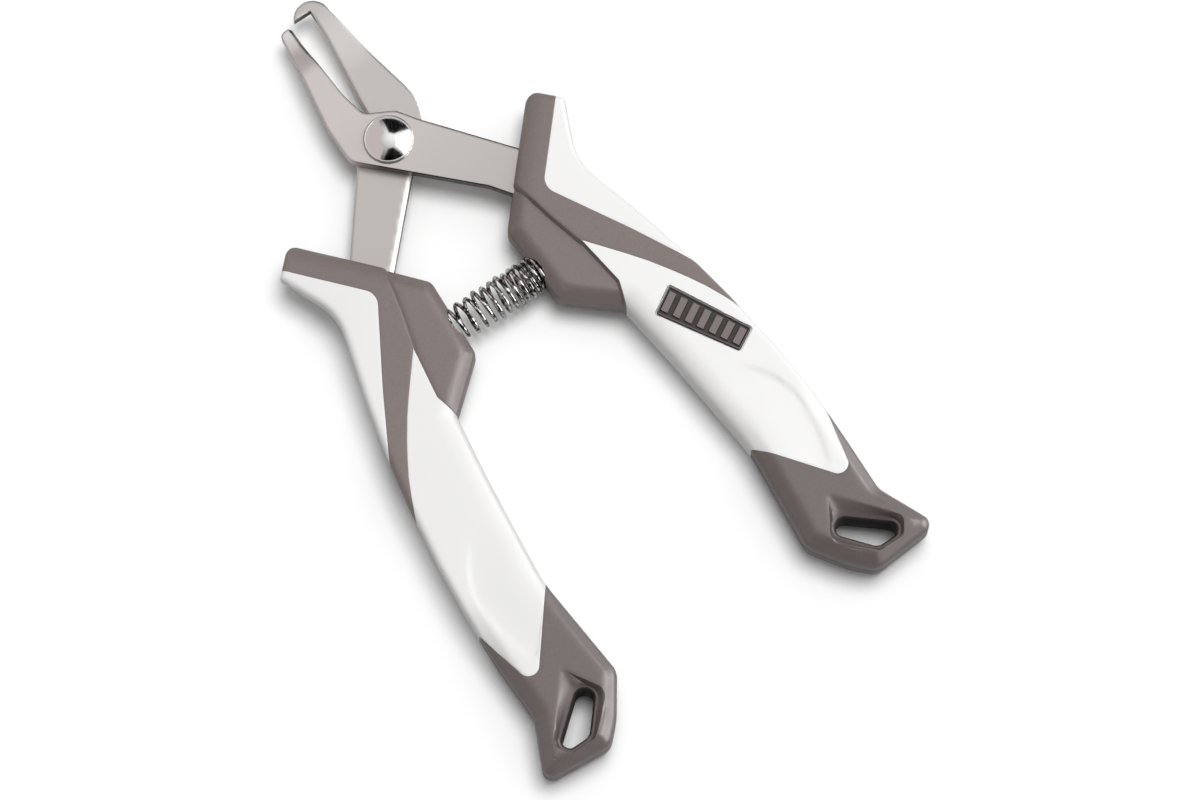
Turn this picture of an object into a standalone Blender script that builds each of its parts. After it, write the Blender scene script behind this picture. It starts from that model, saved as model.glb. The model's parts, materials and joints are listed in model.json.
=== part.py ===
"""Split-ring fishing pliers: two steel plates on a domed pivot, sprung open between two-colour handles.

The plates cross at the pivot, so the nose jaw belongs to the right handle and the hook jaw to the left one.
The row origin is on the pivot axis at the flat end of the rear cap, +Y runs towards the jaws and +Z up.
Shapes are drawn in millimetres about the plane between the two plates, and become metres in finish_mesh.
"""

import math

import bmesh
import bpy
import numpy as np
from mathutils import Vector
from mathutils.geometry import delaunay_2d_cdt

MM = 0.001
ARC_STEP = math.radians(15)
GAP = 0.1
FAR = 150.0

# Plates and pivot
PLATE_INNER = 0.15
PLATE_OUTER = 2.0
CRANK_START = 17.0
CRANK_END = 19.5
CRANK_DROP = 1.075
BEND_REACH = 12.0
POST_RADIUS = 2.0
RUNNING_FIT = 0.06
HEAD_RADIUS = 3.7
WASHER_RADIUS = 4.0
WASHER_GAP = 0.05
WASHER_THICK = 0.25
SHIM_RADIUS = 4.6
DOME_RISE = 1.6
DOME_RIM = 0.25
DOME_STEPS = 8
CAP_THICK = 1.1
CAP_CHAMFER = 0.4
CAP_SOCKET = 0.6
ROUND_SIDES = 48
HEAD_BASE = PLATE_OUTER + WASHER_THICK + 2 * WASHER_GAP
CAP_END = HEAD_BASE + CAP_THICK

# Handles
HALF_THICK = 4.8
PAD_SINK = 0.8
REACH = HALF_THICK + 2
SKIN = 1.6
DISH_FLOOR = 3.0
PARTING = 0.03
POCKET_GAP = 0.12
TONGUE_END = -84.0
EDGE_PROFILE = [(0.0, 2.2), (0.4, 3.6), (1.1, 4.45), (2.1, HALF_THICK)]
CORE_PROFILE = [(0.0, 2.6), (1.0, HALF_THICK)]
PEG_RADIUS = 1.3
PEG_HOLE = 1.6
PEG_SIDES = 20
PEG_INNER = 0.8
PEG_OUTER = 1.8
PEG_PLACES = [(20.6, -37.0), (23.4, -53.0)]

# Return spring, along X between the two pads
SPRING_Y = -29.5
SPRING_RADIUS = 2.0
SPRING_SWELL = 0.75
SPRING_SAG = 0.35
WIRE_RADIUS = 0.3
SPRING_HALF = 10.2
SPRING_TURNS = 18
CLOSE_TURNS = 2.6
CLOSE_PITCH = 0.72
SOCKET_RADIUS = 3.1
SOCKET_START = 2.0
SOCKET_END = 10.6
BOSS_RADIUS = 1.4
BOSS_END = 8.4
ROD_SIDES = 24
COIL_STEPS = 14
WIRE_SIDES = 6

# Badge inlay, on the right handle's front
BADGE_CORNERS = [(22.3, -43.7, 0.3), (18.2, -46.2, 0.3), (25.5, -58.0, 0.3), (28.9, -56.1, 0.3)]
BADGE_SINK = 0.5
BADGE_RISE = 0.15
RIB_COUNT = 7
RIB_RISE = 0.2
RIB_HALF_WIDTH = 0.5
RIB_MARGIN = 0.14

# Corner lists are (x, y, fillet radius) for the right handle; the left one mirrors them.
HANDLE = [
    (21.8, -5.4, 2.0), (26.0, -9.6, 0.6), (21.8, -19.3, 10.0), (25.9, -34.0, 60.0),
    (28.7, -46.3, 80.0), (31.1, -64.0, 80.0), (31.5, -76.0, 60.0), (31.2, -87.0, 4.0),
    (35.4, -96.2, 1.5), (24.1, -97.1, 2.5), (21.0, -94.0, 10.0), (17.1, -88.3, 3.0),
    (18.7, -70.8, 20.0), (16.9, -53.5, 60.0), (15.4, -42.4, 0.5), (7.5, -35.6, 1.5),
    (6.9, -22.4, 1.8),
]
PAD_REGION = [
    (10.6, -10.5, 0), (11.8, -16.6, 0), (13.5, -24.5, 0), (15.05, -30.2, 0), (15.8, -31.6, 0),
    (16.9, -38.8, 1.5), (15.75, -42.9, 0), (14.2, -45.3, 0), (1.0, -45.3, 0), (1.0, -10.5, 0),
]
GUARD_REGION = [
    (26.2, -6.8, 0), (14.8, -19.9, 2.5), (22.7, -33.2, 60.0), (29.5, -45.9, 0), (34.0, -46.0, 0),
    (34.0, -56.5, 0), (31.2, -56.5, 0), (27.0, -46.7, 40.0), (22.0, -38.7, 60.0), (15.3, -30.4, 0),
    (16.5, -38.7, 1.5), (15.4, -42.4, 0), (14.6, -44.3, 0), (2.0, -44.3, 0), (2.0, -2.0, 0),
    (26.2, -2.0, 0),
]
END_REGION = [
    (15.9, -67.9, 0), (28.7, -84.3, 1.6), (31.97, -70.0, 0), (38.0, -70.0, 0), (38.0, -100.0, 0),
    (12.0, -100.0, 0), (12.0, -67.9, 0),
]
DISH = [(23.9, -83.4, 0.8), (31.6, -92.8, 1.2), (30.0, -95.3, 1.0), (25.6, -95.3, 1.5), (20.2, -90.2, 1.8)]
HOLE_RIM = [
    (23.2, -86.2, 1.2), (31.1, -92.8, 0.9), (29.8, -94.9, 0.8), (25.8, -94.9, 1.2), (21.0, -89.2, 1.2),
]
HOLE_DRAFT = 0.6

# Plate outlines run anticlockwise from the jaw tip.
NOSE_PLATE = [
    (-2.5, 23.9, 0.7), (-4.5, 23.6, 0.9), (-4.9, 19.5, 8.0), (-6.8, 6.6, 6.0), (-6.8, 0.4, 3.0),
    (8.7, -14.7, 4.0), (10.9, -17.7, 0), (12.6, -20.0, 6.0), (16.2, -33.5, 8.0), (20.2, -59.0, 1.5),
    (25.6, -59.0, 1.5), (24.6, -44.0, 30.0), (20.5, -18.0, 8.0), (5.6, 0.3, 6.0), (3.5, 3.3, 2.5),
    (-0.9, 5.6, 2.0), (-1.8, 9.6, 10.0), (-2.4, 18.2, 6.0),
]
HOOK_TIP_CENTRE = (1.1, 23.05)
HOOK_TIP_RADIUS = 2.9
HOOK_TIP_START = math.radians(-2)
HOOK_TIP_SHORT = math.radians(6)
HOOK_TOOTH = [(-1.45, 24.3), (1.5, 24.3)]
HOOK_PLATE = [
    (1.4, 19.4, 8.0), (0.9, 14.5, 20.0), (0.2, 8.2, 10.0), (0.0, 5.5, 2.0), (-5.0, 1.0, 3.0),
    (-19.6, -18.1, 10.0), (-24.6, -44.0, 30.0), (-25.6, -59.0, 1.5), (-20.2, -59.0, 1.5),
    (-16.2, -33.5, 8.0), (-12.6, -20.0, 6.0), (-10.5, -17.5, 0), (0.3, -6.1, 2.0), (5.2, -3.2, 4.0),
    (7.8, 4.0, 10.0), (7.0, 7.3, 6.0), (5.4, 14.9, 20.0),
]

COLOURS = {
    "steel": ((0.56, 0.54, 0.52), 0.38, 1.0),
    "polished_steel": ((0.8, 0.79, 0.78), 0.08, 1.0),
    "spring_steel": ((0.45, 0.44, 0.43), 0.2, 1.0),
    "washer_bronze": ((0.5, 0.36, 0.2), 0.4, 1.0),
    "white_plastic": ((0.86, 0.85, 0.84), 0.45, 0.0),
    "grey_rubber": ((0.235, 0.2, 0.19), 0.7, 0.0),
    "badge_grey": ((0.2, 0.17, 0.16), 0.55, 0.0),
}


def clear_scene():
    for obj in list(bpy.data.objects):
        bpy.data.objects.remove(obj, do_unlink=True)


def material(name):
    """A Principled material of one named colour, made once."""
    if name in bpy.data.materials:
        return bpy.data.materials[name]
    colour, roughness, metallic = COLOURS[name]
    made = bpy.data.materials.new(name)
    made.use_nodes = True
    shader = made.node_tree.nodes["Principled BSDF"]
    shader.inputs["Base Color"].default_value = (*colour, 1.0)
    shader.inputs["Roughness"].default_value = roughness
    shader.inputs["Metallic"].default_value = metallic
    return made


def area(points):
    return 0.5 * sum(a[0] * b[1] - b[0] * a[1] for a, b in zip(points, points[1:] + points[:1]))


def anticlockwise(points):
    return points if area(points) > 0 else points[::-1]


def mirrored(corners, side):
    """The corners for side 1 (right) or -1 (left)."""
    return [(side * corner[0], *corner[1:]) for corner in corners]


def arc(centre, radius, start, end):
    """Points on an arc, ends included, with the angles in radians."""
    steps = max(1, math.ceil(abs(end - start) / ARC_STEP))
    angles = [start + (end - start) * i / steps for i in range(steps + 1)]
    return [(centre[0] + radius * math.cos(a), centre[1] + radius * math.sin(a)) for a in angles]


def fillet(before, corner, after):
    """The corner's arc, or the corner itself where its radius is zero."""
    here = Vector(corner[:2])
    towards = (Vector(before[:2]) - here).normalized()
    away = (Vector(after[:2]) - here).normalized()
    turn = math.pi - towards.angle(away)
    if corner[2] == 0 or turn < 1e-4:
        return [tuple(here)]
    back = corner[2] * math.tan(turn / 2)
    middle = here + (towards + away).normalized() * corner[2] / math.cos(turn / 2)
    first = here + towards * back - middle
    last = here + away * back - middle
    start = math.atan2(first.y, first.x)
    sweep = math.atan2(first.cross(last), first.dot(last))
    return arc(middle, corner[2], start, start + sweep)


def rounded(corners):
    """A closed outline, anticlockwise, with each corner rounded to its own radius."""
    count = len(corners)
    points = []
    for i, corner in enumerate(corners):
        points += fillet(corners[i - 1], corner, corners[(i + 1) % count])
    return anticlockwise(points)


def distance(points, outline):
    """The distance of each point from a closed outline."""
    points = np.asarray(points, float)[:, None, :]
    starts = np.asarray(outline, float)[None, :, :]
    ends = np.roll(starts, -1, axis=1)
    along = ends - starts
    share = ((points - starts) * along).sum(2) / (along**2).sum(2)
    nearest = starts + np.clip(share, 0, 1)[..., None] * along
    return np.sqrt(((points - nearest) ** 2).sum(2)).min(1)


def inset(outline, depth):
    """An anticlockwise outline moved inwards by depth, or outwards where depth is negative."""
    points = np.asarray(outline, float)
    before = points - np.roll(points, 1, axis=0)
    after = np.roll(points, -1, axis=0) - points
    before /= np.linalg.norm(before, axis=1)[:, None]
    after /= np.linalg.norm(after, axis=1)[:, None]
    normal = before + after
    normal = np.stack([-normal[:, 1], normal[:, 0]], axis=1)
    normal /= np.linalg.norm(normal, axis=1)[:, None]
    lean = normal[:, 0] * -after[:, 1] + normal[:, 1] * after[:, 0]
    moved = points + normal * (depth / lean)[:, None]
    clear = distance(moved, outline) > abs(depth) - 1e-4
    return [tuple(p) for p in moved[clear]]


def holds(outline, x, y):
    """Whether a point is inside an outline."""
    crossings = 0
    for (x0, y0), (x1, y1) in zip(outline, outline[1:] + outline[:1]):
        if (y0 > y) != (y1 > y) and x < x0 + (y - y0) * (x1 - x0) / (y1 - y0):
            crossings += 1
    return crossings % 2 == 1


def triangulate(outline, inner, holes, lines):
    """Plan points and triangles of an outline, whose edges include every inner loop, hole and line."""
    points = []
    edges = []
    for loop in [outline, *inner, *holes]:
        first = len(points)
        edges += [(first + i, first + (i + 1) % len(loop)) for i in range(len(loop))]
        points += loop
    for line in lines:
        first = len(points)
        edges += [(first + i, first + i + 1) for i in range(len(line) - 1)]
        points += line
    found = delaunay_2d_cdt([Vector(p) for p in points], edges, [], 0, 1e-6)
    plan = [tuple(p) for p in found[0]]
    kept = []
    for face in found[2]:
        x = sum(plan[i][0] for i in face) / 3
        y = sum(plan[i][1] for i in face) / 3
        if holds(outline, x, y) and not any(holds(hole, x, y) for hole in holes):
            kept.append(tuple(face))
    return plan, kept


def solid_mesh(outline, top, bottom, inner=(), holes=(), lines=()):
    """A closed solid over an outline, between the heights that top and bottom give for its plan points."""
    plan, faces = triangulate(outline, inner, holes, lines)
    used = sorted({i for face in faces for i in face})
    place = {old: new for new, old in enumerate(used)}
    plan = [plan[i] for i in used]
    faces = [tuple(place[i] for i in face) for face in faces]
    count = len(plan)
    corners = [(x, y, z) for (x, y), z in zip(plan, top(plan))]
    corners += [(x, y, z) for (x, y), z in zip(plan, bottom(plan))]
    directed = {(face[i], face[(i + 1) % 3]) for face in faces for i in range(3)}
    walls = [(b, a, a + count, b + count) for a, b in directed if (b, a) not in directed]
    under = [tuple(i + count for i in reversed(face)) for face in faces]
    return corners, [*faces, *under, *sorted(walls)]


def flat(height):
    """A height function that is the same everywhere."""
    return lambda plan: [height] * len(plan)


def finish_mesh(name, shape, colour=None):
    """A named object from corners and faces in millimetres. Without a colour it is a hidden cutter."""
    corners, faces = shape
    mesh = bpy.data.meshes.new(name)
    raised = [(x * MM, y * MM, (z + CAP_END) * MM) for x, y, z in corners]
    mesh.from_pydata(raised, [], faces)
    work = bmesh.new()
    work.from_mesh(mesh)
    bmesh.ops.recalc_face_normals(work, faces=work.faces)
    work.to_mesh(mesh)
    work.free()
    obj = bpy.data.objects.new(name, mesh)
    bpy.context.scene.collection.objects.link(obj)
    if colour is None:
        obj.hide_render = True
        obj.display_type = "WIRE"
    else:
        mesh.materials.append(material(colour))
        mesh.shade_smooth()
        mesh.set_sharp_from_angle(angle=math.radians(35))
    return obj


def prism(name, outline, low, high, colour=None, holes=()):
    return finish_mesh(name, solid_mesh(outline, flat(high), flat(low), holes=holes), colour)


def boolean(obj, operation, other):
    modifier = obj.modifiers.new(f"{operation.lower()}_{other.name}", "BOOLEAN")
    modifier.operation = operation
    modifier.object = other
    modifier.solver = "EXACT"


def circle(x, y, radius, sides=ROUND_SIDES):
    return [
        (x + radius * math.cos(2 * math.pi * i / sides), y + radius * math.sin(2 * math.pi * i / sides))
        for i in range(sides)
    ]


def turned(profile, sides=ROUND_SIDES):
    """A solid turned about the pivot axis from (radius, height) points; one of radius 0 is on the axis."""
    corners = []
    rows = []
    for radius, height in profile:
        first = len(corners)
        ring = [(0.0, 0.0)] if radius == 0 else circle(0, 0, radius, sides)
        corners += [(x, y, height) for x, y in ring]
        rows.append([first + i % len(ring) for i in range(sides + 1)])
    if profile[0][0] > 0:
        rows.append(rows[0])
    faces = []
    for low, high in zip(rows, rows[1:]):
        for i in range(sides):
            face = [low[i], low[i + 1], high[i + 1], high[i]]
            faces.append(tuple(dict.fromkeys(face)))
    return corners, faces


def rod(start, end, radius):
    """A solid cylinder along X at the spring's height, from one x to another."""
    sides = ROD_SIDES
    corners = [(x, y, z) for x in (start, end) for y, z in circle(SPRING_Y, 0, radius, sides)]
    faces = [(i, (i + 1) % sides, sides + (i + 1) % sides, sides + i) for i in range(sides)]
    return corners, [*faces, tuple(range(sides)), tuple(range(2 * sides - 1, sides - 1, -1))]


# Plates


def crank(y):
    """How far the jaw is set towards the other plate at this y, from 0 to CRANK_DROP."""
    share = min(1.0, max(0.0, (y - CRANK_START) / (CRANK_END - CRANK_START)))
    return CRANK_DROP * share


def plate(name, outline, layer, holes):
    """A stamped plate in the upper (layer 1) or lower (-1) layer, with its jaw cranked to the middle."""
    def face(level):
        return lambda plan: [layer * (level - crank(y)) for _, y in plan]

    bends = [[(-BEND_REACH, y), (BEND_REACH, y)] for y in (CRANK_START, CRANK_END)]
    levels = (face(PLATE_OUTER), face(PLATE_INNER))
    top, bottom = levels if layer > 0 else levels[::-1]
    return finish_mesh(name, solid_mesh(outline, top, bottom, holes=holes, lines=bends), "steel")


def tang_holes(side):
    pivot = circle(0, 0, POST_RADIUS + RUNNING_FIT)
    return [pivot] + [circle(side * x, y, PEG_HOLE, PEG_SIDES) for x, y in PEG_PLACES]


def hook_outline():
    """The hook jaw's round end and tooth, then the rest of the plate."""
    tip, root = HOOK_TOOTH
    end = math.atan2(tip[1] - HOOK_TIP_CENTRE[1], tip[0] - HOOK_TIP_CENTRE[0]) - HOOK_TIP_SHORT
    round_end = arc(HOOK_TIP_CENTRE, HOOK_TIP_RADIUS, HOOK_TIP_START, end)
    rest = [(*root, 0), *HOOK_PLATE, (*round_end[0], 0)]
    body = []
    for before, corner, after in zip(rest, rest[1:], rest[2:]):
        body += fillet(before, corner, after)
    return anticlockwise([*round_end, tip, root, *body])


# Pivot


def pivot_post():
    sphere = (HEAD_RADIUS**2 + DOME_RISE**2) / (2 * DOME_RISE)
    rim = HEAD_BASE + DOME_RIM
    centre = rim + DOME_RISE - sphere
    lean = math.asin(HEAD_RADIUS / sphere)
    leans = [lean * i / DOME_STEPS for i in range(DOME_STEPS, 0, -1)]
    dome = [(sphere * math.sin(angle), centre + sphere * math.cos(angle)) for angle in leans]
    end = -(CAP_END - CAP_THICK + CAP_SOCKET - WASHER_GAP)
    shank = [(0, end), (POST_RADIUS, end), (POST_RADIUS, HEAD_BASE), (HEAD_RADIUS, HEAD_BASE)]
    return finish_mesh("pivot_post", turned([*shank, *dome, (0, rim + DOME_RISE)]), "polished_steel")


def pivot_cap():
    """The rear head, closed over the post's end, with a flat outer face."""
    near = -(CAP_END - CAP_THICK)
    socket = near - CAP_SOCKET
    bore = POST_RADIUS + WASHER_GAP
    profile = [
        (0, -CAP_END), (HEAD_RADIUS - CAP_CHAMFER, -CAP_END), (HEAD_RADIUS, -CAP_END + CAP_CHAMFER),
        (HEAD_RADIUS, near), (bore, near), (bore, socket), (0, socket),
    ]
    return finish_mesh("pivot_cap", turned(profile), "polished_steel")


def washer(name, radius, low, high, colour):
    bore = POST_RADIUS + RUNNING_FIT
    profile = [(bore, low), (radius, low), (radius, high), (bore, high)]
    return finish_mesh(name, turned(profile), colour)


def pivot_washers():
    low = PLATE_OUTER + WASHER_GAP
    high = low + WASHER_THICK
    shim = PLATE_INNER - WASHER_GAP
    return [
        washer("front_washer", WASHER_RADIUS, low, high, "steel"),
        washer("shim_washer", SHIM_RADIUS, -shim, shim, "washer_bronze"),
        washer("rear_washer", WASHER_RADIUS, -high, -low, "steel"),
    ]


# Handles


def pillow(name, outline, profile, depth=0.0):
    """A handle-shaped cutter, alike above and below, drawn in on every side by depth."""
    edge = inset(outline, depth) if depth else outline
    steps = [depth + step for step, _ in profile]
    rings = [edge]
    for before, after in zip(steps, steps[1:]):
        rings.append(inset(rings[-1], after - before))
    heights = [height - depth for _, height in profile]

    def top(plan):
        return np.interp(distance(plan, outline), steps, heights)

    def bottom(plan):
        return -top(plan)

    return finish_mesh(name, solid_mesh(edge, top, bottom, inner=rings[1:]))


def recess(name, outer, floor, level):
    """A cutter whose sides slope from the outer loop at the handle's face to the floor loop at level."""
    def slope(plan):
        out = distance(plan, outer)
        down = distance(plan, floor)
        down = np.where([holds(floor, x, y) for x, y in plan], 0, down)
        return HALF_THICK + (level - HALF_THICK) * out / (out + down)

    return solid_mesh(outer, flat(HALF_THICK + 1), slope, inner=[floor])


def flipped(shape):
    corners, faces = shape
    return [(x, y, -z) for x, y, z in corners], faces


def box(low, high):
    return [(x, y, z) for x in (low[0], high[0]) for y in (low[1], high[1]) for z in (low[2], high[2])], [
        (0, 1, 3, 2), (4, 6, 7, 5), (0, 4, 5, 1), (2, 3, 7, 6), (0, 2, 6, 4), (1, 5, 7, 3)
    ]


def handle_cutters(tag, side):
    """The hidden solids that a handle's pieces are cut from and with."""
    outline = rounded(mirrored(HANDLE, side))
    guard = rounded(mirrored(GUARD_REGION, side))
    end = rounded(mirrored(END_REGION, side))
    pad = rounded(mirrored(PAD_REGION, side))
    hole = inset(rounded(mirrored(HOLE_RIM, side)), HOLE_DRAFT)
    socket = (side * SOCKET_START, side * SOCKET_END, SOCKET_RADIUS)
    pad_level = HALF_THICK - PAD_SINK
    parts = {
        "blank": pillow(f"{tag}_blank", outline, EDGE_PROFILE),
        "inner": pillow(f"{tag}_inner", outline, CORE_PROFILE, SKIN),
        "bed": pillow(f"{tag}_bed", outline, CORE_PROFILE, SKIN - GAP),
        "guard_skin": prism(f"{tag}_guard_skin", inset(guard, -GAP), -REACH, REACH),
        "end_skin": prism(f"{tag}_end_skin", inset(end, -GAP), -REACH, REACH),
        "dish": finish_mesh(f"{tag}_dish", dish(side)),
        "rear_dish": finish_mesh(f"{tag}_rear_dish", flipped(dish(side))),
        "hole": prism(f"{tag}_hole", hole, -REACH, REACH),
        "pad": prism(f"{tag}_pad", pad, pad_level, REACH),
        "rear_pad": prism(f"{tag}_rear_pad", pad, -REACH, -pad_level),
        "bore": finish_mesh(f"{tag}_bore", rod(*socket)),
        "socket": finish_mesh(f"{tag}_socket", rod(*socket)),
    }
    for name, limit in (("inner", TONGUE_END), ("bed", TONGUE_END - GAP)):
        trim = finish_mesh(f"{tag}_{name}_trim", box((-FAR, -FAR, -REACH), (FAR, limit, REACH)))
        boolean(parts[name], "DIFFERENCE", trim)
    boss = finish_mesh(f"{tag}_boss", rod(side * BOSS_END, side * SOCKET_END * 1.1, BOSS_RADIUS))
    boolean(parts["socket"], "DIFFERENCE", boss)
    boolean(parts["guard_skin"], "DIFFERENCE", parts["inner"])
    boolean(parts["end_skin"], "DIFFERENCE", parts["inner"])
    return parts


def dish(side):
    return recess("dish", rounded(mirrored(DISH, side)), rounded(mirrored(HOLE_RIM, side)), DISH_FLOOR)


def tang_cutter(name, outline, layer, clearance):
    """The room that a plate needs, from just past the parting plane to beyond the plate's outer face."""
    far = layer * (PLATE_OUTER + clearance)
    near = -layer * clearance
    return prism(name, inset(outline, -clearance), min(near, far), max(near, far))


def overmould(tag, name, region, cutters, parts):
    """A rubber skin over a region of the handle, open where the core shows through."""
    skin = prism(f"{tag}_{name}", region, -REACH, REACH, "grey_rubber")
    boolean(skin, "INTERSECT", parts["blank"])
    boolean(skin, "DIFFERENCE", parts["bed"])
    for cutter in cutters:
        boolean(skin, "DIFFERENCE", cutter)
    return skin


def shell(tag, name, layer, parts, pocket, pegs):
    """The front (layer 1) or rear (-1) half of the white core, with pegs on the half without the pocket."""
    near, far = layer * PARTING, layer * REACH
    half = box((-FAR, -FAR, min(near, far)), (FAR, FAR, max(near, far)))
    made = finish_mesh(f"{tag}_{name}", half, "white_plastic")
    boolean(made, "INTERSECT", parts["blank"])
    boolean(made, "DIFFERENCE", parts["guard_skin"])
    boolean(made, "DIFFERENCE", parts["end_skin"])
    boolean(made, "DIFFERENCE", parts["socket"])
    boolean(made, "DIFFERENCE", pocket)
    for peg in pegs:
        boolean(made, "UNION", peg)
    return made


def handle(tag, side, layer, plate_outline):
    """One handle around the tang of the plate in the given layer."""
    parts = handle_cutters(tag, side)
    pocket = tang_cutter(f"{tag}_pocket", plate_outline, layer, POCKET_GAP)
    slot = tang_cutter(f"{tag}_slot", plate_outline, layer, GAP)
    guard = overmould(
        tag, "guard_overmould", rounded(mirrored(GUARD_REGION, side)),
        [parts["pad"], parts["rear_pad"], parts["bore"], slot], parts,
    )
    end = overmould(
        tag, "end_overmould", rounded(mirrored(END_REGION, side)),
        [parts["dish"], parts["rear_dish"], parts["hole"]], parts,
    )
    tips = sorted((-layer * PEG_INNER, layer * PEG_OUTER))
    pegs = [
        prism(f"{tag}_peg_{i}", circle(side * x, y, PEG_RADIUS, PEG_SIDES), *tips)
        for i, (x, y) in enumerate(PEG_PLACES)
    ]
    front = shell(tag, "front_shell", 1, parts, pocket, pegs if layer < 0 else [])
    rear = shell(tag, "rear_shell", -1, parts, pocket, pegs if layer > 0 else [])
    return guard, end, front, rear


def badge(front_shell):
    """A ribbed inlay let into the right handle's front face."""
    outline = rounded(BADGE_CORNERS)
    low = HALF_THICK - BADGE_SINK
    high = HALF_THICK + BADGE_RISE
    pocket = prism("badge_pocket", inset(outline, -GAP), low - GAP, REACH)
    boolean(front_shell, "DIFFERENCE", pocket)
    inlay = prism("badge_inlay", outline, low, high, "badge_grey")
    start, across = (Vector(BADGE_CORNERS[i][:2]) for i in (0, 1))
    far, far_across = (Vector(BADGE_CORNERS[i][:2]) for i in (3, 2))
    for i in range(RIB_COUNT):
        share = (i + 0.5) / RIB_COUNT
        near_side = start.lerp(far, share)
        far_side = across.lerp(far_across, share)
        one = near_side.lerp(far_side, RIB_MARGIN)
        two = far_side.lerp(near_side, RIB_MARGIN)
        width = (far - start).normalized() * RIB_HALF_WIDTH
        rib = [tuple(p) for p in (one - width, two - width, two + width, one + width)]
        boolean(inlay, "UNION", prism(f"badge_rib_{i}", anticlockwise(rib), low + GAP, high + RIB_RISE))
    return inlay


# Spring


def coil_middle(share):
    """The y of the coil's middle and its radius: the spring swells and sags between the handles."""
    bow = math.sin(math.pi * share)
    return SPRING_Y - SPRING_SAG * bow, SPRING_RADIUS + SPRING_SWELL * bow


def coil_point(share):
    """The wire's centre at a share of its length, with close turns inside each socket."""
    turn = share * SPRING_TURNS
    open_turns = SPRING_TURNS - 2 * CLOSE_TURNS
    pitch = (2 * SPRING_HALF - 2 * CLOSE_TURNS * CLOSE_PITCH) / open_turns
    middle = min(max(turn - CLOSE_TURNS, 0), open_turns)
    x = -SPRING_HALF + CLOSE_PITCH * (turn - middle) + pitch * middle
    angle = 2 * math.pi * turn
    y, radius = coil_middle(share)
    return Vector((x, y + radius * math.cos(angle), radius * math.sin(angle)))


def return_spring():
    count = SPRING_TURNS * COIL_STEPS
    corners = []
    for i in range(count + 1):
        share = i / count
        centre = coil_point(share)
        outward = Vector((0, centre.y - coil_middle(share)[0], centre.z)).normalized()
        along = (coil_point(min(share + 1e-4, 1)) - coil_point(max(share - 1e-4, 0))).normalized()
        across = along.cross(outward)
        for j in range(WIRE_SIDES):
            angle = 2 * math.pi * j / WIRE_SIDES
            spot = centre + WIRE_RADIUS * (math.cos(angle) * outward + math.sin(angle) * across)
            corners.append(tuple(spot))
    faces = []
    for i in range(count):
        for j in range(WIRE_SIDES):
            a, b = i * WIRE_SIDES + j, i * WIRE_SIDES + (j + 1) % WIRE_SIDES
            faces.append((a, b, b + WIRE_SIDES, a + WIRE_SIDES))
    last = count * WIRE_SIDES
    faces += [tuple(range(WIRE_SIDES)), tuple(range(last + WIRE_SIDES - 1, last - 1, -1))]
    return finish_mesh("return_spring", (corners, faces), "spring_steel")


def side_empty(name, pieces):
    """An empty on the pivot axis that carries one half of the pliers."""
    empty = bpy.data.objects.new(name, None)
    bpy.context.scene.collection.objects.link(empty)
    for piece in pieces:
        piece.parent = empty
    return empty


def build():
    clear_scene()
    nose_outline = rounded(NOSE_PLATE)
    hook_outline_points = hook_outline()
    nose_plate = plate("nose_jaw_plate", nose_outline, 1, tang_holes(1))
    hook_plate = plate("hook_jaw_plate", hook_outline_points, -1, tang_holes(-1))
    right = handle("right", 1, 1, nose_outline)
    left = handle("left", -1, -1, hook_outline_points)
    inlay = badge(right[2])
    side_empty("nose_side", [nose_plate, *right, inlay])
    side_empty("hook_side", [hook_plate, *left, pivot_post(), pivot_cap(), *pivot_washers(), return_spring()])


build()
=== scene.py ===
"""Looks of the split-ring fishing pliers: moulded handles, stamped jaws, domed pivot and return spring.

Shapes are drawn in millimetres about the plane between the two plates and become metres in add_piece.
Corner lists are (x, y, fillet radius) for the right handle; the left one mirrors them.
"""

import json
import math

import bmesh
import bpy
import numpy as np
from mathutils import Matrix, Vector
from mathutils.geometry import delaunay_2d_cdt
from mathutils.kdtree import KDTree


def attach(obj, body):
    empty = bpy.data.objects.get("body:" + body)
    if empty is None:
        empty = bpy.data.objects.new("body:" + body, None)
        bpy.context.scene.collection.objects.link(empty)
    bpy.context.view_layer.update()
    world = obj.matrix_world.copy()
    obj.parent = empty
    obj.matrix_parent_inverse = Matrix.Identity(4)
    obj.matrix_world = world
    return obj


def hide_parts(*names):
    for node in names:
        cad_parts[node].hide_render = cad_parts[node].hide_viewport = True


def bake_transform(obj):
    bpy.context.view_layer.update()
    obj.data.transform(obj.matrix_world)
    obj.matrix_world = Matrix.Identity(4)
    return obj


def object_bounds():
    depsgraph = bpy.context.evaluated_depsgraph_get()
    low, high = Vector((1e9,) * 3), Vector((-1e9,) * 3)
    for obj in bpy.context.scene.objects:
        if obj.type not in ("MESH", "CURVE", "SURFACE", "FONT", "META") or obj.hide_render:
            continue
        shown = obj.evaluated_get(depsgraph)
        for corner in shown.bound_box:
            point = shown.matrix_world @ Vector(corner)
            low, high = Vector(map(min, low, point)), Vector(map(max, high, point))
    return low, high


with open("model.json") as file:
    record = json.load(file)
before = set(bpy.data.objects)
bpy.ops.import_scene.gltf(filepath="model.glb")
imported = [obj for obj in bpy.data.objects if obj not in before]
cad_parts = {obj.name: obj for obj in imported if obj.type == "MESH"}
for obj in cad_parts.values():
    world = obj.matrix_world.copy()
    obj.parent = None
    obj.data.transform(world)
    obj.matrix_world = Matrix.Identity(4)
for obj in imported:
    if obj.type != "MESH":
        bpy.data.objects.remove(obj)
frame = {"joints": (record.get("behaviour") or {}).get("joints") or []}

CAD_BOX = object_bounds()
MM = 0.001
MIDDLE = frame["joints"][0]["pos_m"][2] / MM
ARC_STEP = math.radians(6)
SHARP = math.radians(38)
ON_LINE = 2e-3

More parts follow.
